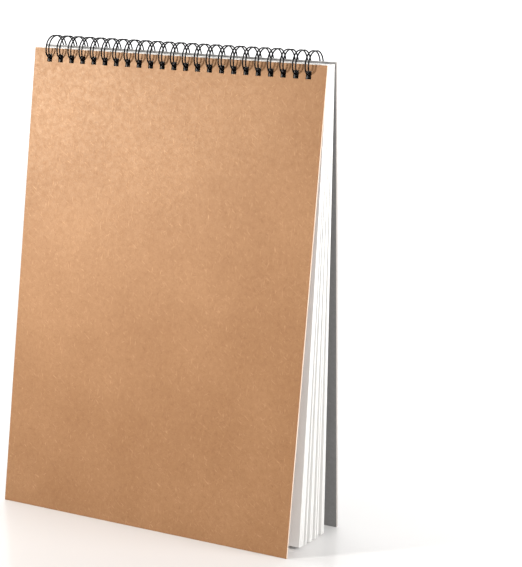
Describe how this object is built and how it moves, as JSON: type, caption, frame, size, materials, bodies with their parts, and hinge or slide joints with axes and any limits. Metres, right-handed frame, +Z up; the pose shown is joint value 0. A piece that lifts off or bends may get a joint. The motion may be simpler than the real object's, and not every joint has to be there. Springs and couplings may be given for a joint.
{
  "type": "sketchbook",
  "caption": "Top-bound sketchbook standing open like a tent: punched cover boards and loose drawing sheets that turn on one twin-loop wire.",
  "frame": {"origin": "on the table, at the middle of the standing book's footprint", "axes": "+X along the binding, to the right as seen from the front; +Y from the front cover to the back cover; +Z up"},
  "size_m": [0.21, 0.0702, 0.3031],
  "materials": {
    "kraft_board": "matt brown board with fine fibres",
    "grey_board": "matt dark grey board",
    "black_wire": "black nylon-coated steel, satin",
    "drawing_paper": "matt white drawing paper"
  },
  "bodies": {
    "binding": {"twin_loop_wire": "black_wire"},
    "back_board": {"back_cover": "grey_board"},
    "pages_10": {"sheet_46": "drawing_paper", "sheet_47": "drawing_paper", "sheet_48": "drawing_paper", "sheet_49": "drawing_paper", "sheet_50": "drawing_paper"},
    "pages_09": {"sheet_41": "drawing_paper", "sheet_42": "drawing_paper", "sheet_43": "drawing_paper", "sheet_44": "drawing_paper", "sheet_45": "drawing_paper"},
    "pages_08": {"sheet_36": "drawing_paper", "sheet_37": "drawing_paper", "sheet_38": "drawing_paper", "sheet_39": "drawing_paper", "sheet_40": "drawing_paper"},
    "pages_07": {"sheet_31": "drawing_paper", "sheet_32": "drawing_paper", "sheet_33": "drawing_paper", "sheet_34": "drawing_paper", "sheet_35": "drawing_paper"},
    "pages_06": {"sheet_26": "drawing_paper", "sheet_27": "drawing_paper", "sheet_28": "drawing_paper", "sheet_29": "drawing_paper", "sheet_30": "drawing_paper"},
    "pages_05": {"sheet_21": "drawing_paper", "sheet_22": "drawing_paper", "sheet_23": "drawing_paper", "sheet_24": "drawing_paper", "sheet_25": "drawing_paper"},
    "pages_04": {"sheet_16": "drawing_paper", "sheet_17": "drawing_paper", "sheet_18": "drawing_paper", "sheet_19": "drawing_paper", "sheet_20": "drawing_paper"},
    "pages_03": {"sheet_11": "drawing_paper", "sheet_12": "drawing_paper", "sheet_13": "drawing_paper", "sheet_14": "drawing_paper", "sheet_15": "drawing_paper"},
    "pages_02": {"sheet_06": "drawing_paper", "sheet_07": "drawing_paper", "sheet_08": "drawing_paper", "sheet_09": "drawing_paper", "sheet_10": "drawing_paper"},
    "pages_01": {"sheet_01": "drawing_paper", "sheet_02": "drawing_paper", "sheet_03": "drawing_paper", "sheet_04": "drawing_paper", "sheet_05": "drawing_paper"},
    "front_board": {"front_cover": "kraft_board"}
  },
  "joints": [
    {"name": "back_cover_hinge", "type": "hinge", "parent": "binding", "child": "back_board", "pos_m": [0, 0.00424, 0.29529], "axis": [1, 0, 0], "range_deg": [-4, 2]},
    {"name": "pages_10_hinge", "type": "hinge", "parent": "back_board", "child": "pages_10", "pos_m": [0, 0.00424, 0.29529], "axis": [-1, 0, 0], "range_deg": [-3.1, 3]},
    {"name": "pages_09_hinge", "type": "hinge", "parent": "pages_10", "child": "pages_09", "pos_m": [0, 0.00424, 0.29529], "axis": [-1, 0, 0], "range_deg": [-0.07, 3]},
    {"name": "pages_08_hinge", "type": "hinge", "parent": "pages_09", "child": "pages_08", "pos_m": [0, 0.00424, 0.29529], "axis": [-1, 0, 0], "range_deg": [-0.87, 3]},
    {"name": "pages_07_hinge", "type": "hinge", "parent": "pages_08", "child": "pages_07", "pos_m": [0, 0.00424, 0.29529], "axis": [-1, 0, 0], "range_deg": [-0.27, 3]},
    {"name": "pages_06_hinge", "type": "hinge", "parent": "pages_07", "child": "pages_06", "pos_m": [0, 0.00424, 0.29529], "axis": [-1, 0, 0], "range_deg": [-0.67, 3]},
    {"name": "pages_05_hinge", "type": "hinge", "parent": "pages_06", "child": "pages_05", "pos_m": [0, 0.00424, 0.29529], "axis": [-1, 0, 0], "range_deg": [-0.07, 3]},
    {"name": "pages_04_hinge", "type": "hinge", "parent": "pages_05", "child": "pages_04", "pos_m": [0, 0.00424, 0.29529], "axis": [-1, 0, 0], "range_deg": [-0.77, 3]},
    {"name": "pages_03_hinge", "type": "hinge", "parent": "pages_04", "child": "pages_03", "pos_m": [0, 0.00424, 0.29529], "axis": [-1, 0, 0], "range_deg": [-0.57, 3]},
    {"name": "pages_02_hinge", "type": "hinge", "parent": "pages_03", "child": "pages_02", "pos_m": [0, 0.00424, 0.29529], "axis": [-1, 0, 0], "range_deg": [-0.07, 3]},
    {"name": "pages_01_hinge", "type": "hinge", "parent": "pages_02", "child": "pages_01", "pos_m": [0, 0.00424, 0.29529], "axis": [-1, 0, 0], "range_deg": [-0.07, 3]},
    {"name": "front_cover_hinge", "type": "hinge", "parent": "pages_01", "child": "front_board", "pos_m": [0, 0.00424, 0.29529], "axis": [-1, 0, 0], "range_deg": [-3.1, 150]}
  ]
}
